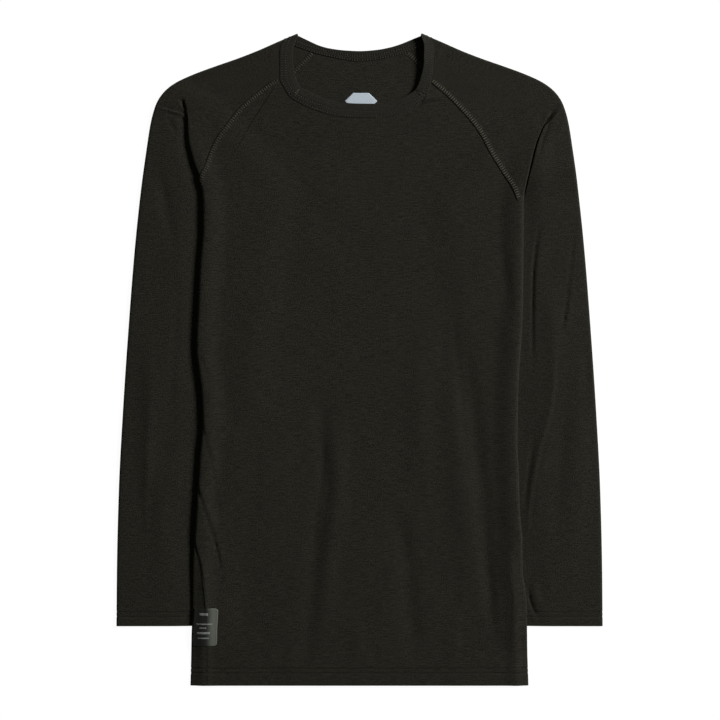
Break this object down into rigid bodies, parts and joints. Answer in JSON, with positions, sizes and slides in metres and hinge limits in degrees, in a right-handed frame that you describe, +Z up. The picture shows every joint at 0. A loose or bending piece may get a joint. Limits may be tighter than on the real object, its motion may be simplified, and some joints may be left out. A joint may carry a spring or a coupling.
{
  "type": "base layer top",
  "caption": "Long-sleeved raglan base layer top with a crew neck band, in fine dark jersey, laid flat with its sleeves down beside the body.",
  "frame": {"origin": "on the surface that the top lies on, under the middle of its box", "axes": "+Y along the body towards the neck, +X to the wearer's left, +Z up, away from the surface"},
  "size_m": [0.5254, 0.7042, 0.0097],
  "materials": {
    "body_jersey": "fine matt wool jersey, dark olive black with a faint heather",
    "sleeve_jersey": "fine matt wool jersey, dark olive black with a faint heather",
    "neck_band_jersey": "folded jersey band, matt",
    "woven_label": "smooth woven tape, pale blue grey",
    "satin_label": "satin ribbon, grey"
  },
  "bodies": {
    "root": {"front_panel": "body_jersey", "back_panel": "body_jersey", "right_sleeve": "sleeve_jersey", "left_sleeve": "sleeve_jersey", "neck_band_front": "neck_band_jersey", "neck_band_back": "neck_band_jersey", "neck_label": "woven_label", "care_label": "satin_label"}
  },
  "joints": []
}
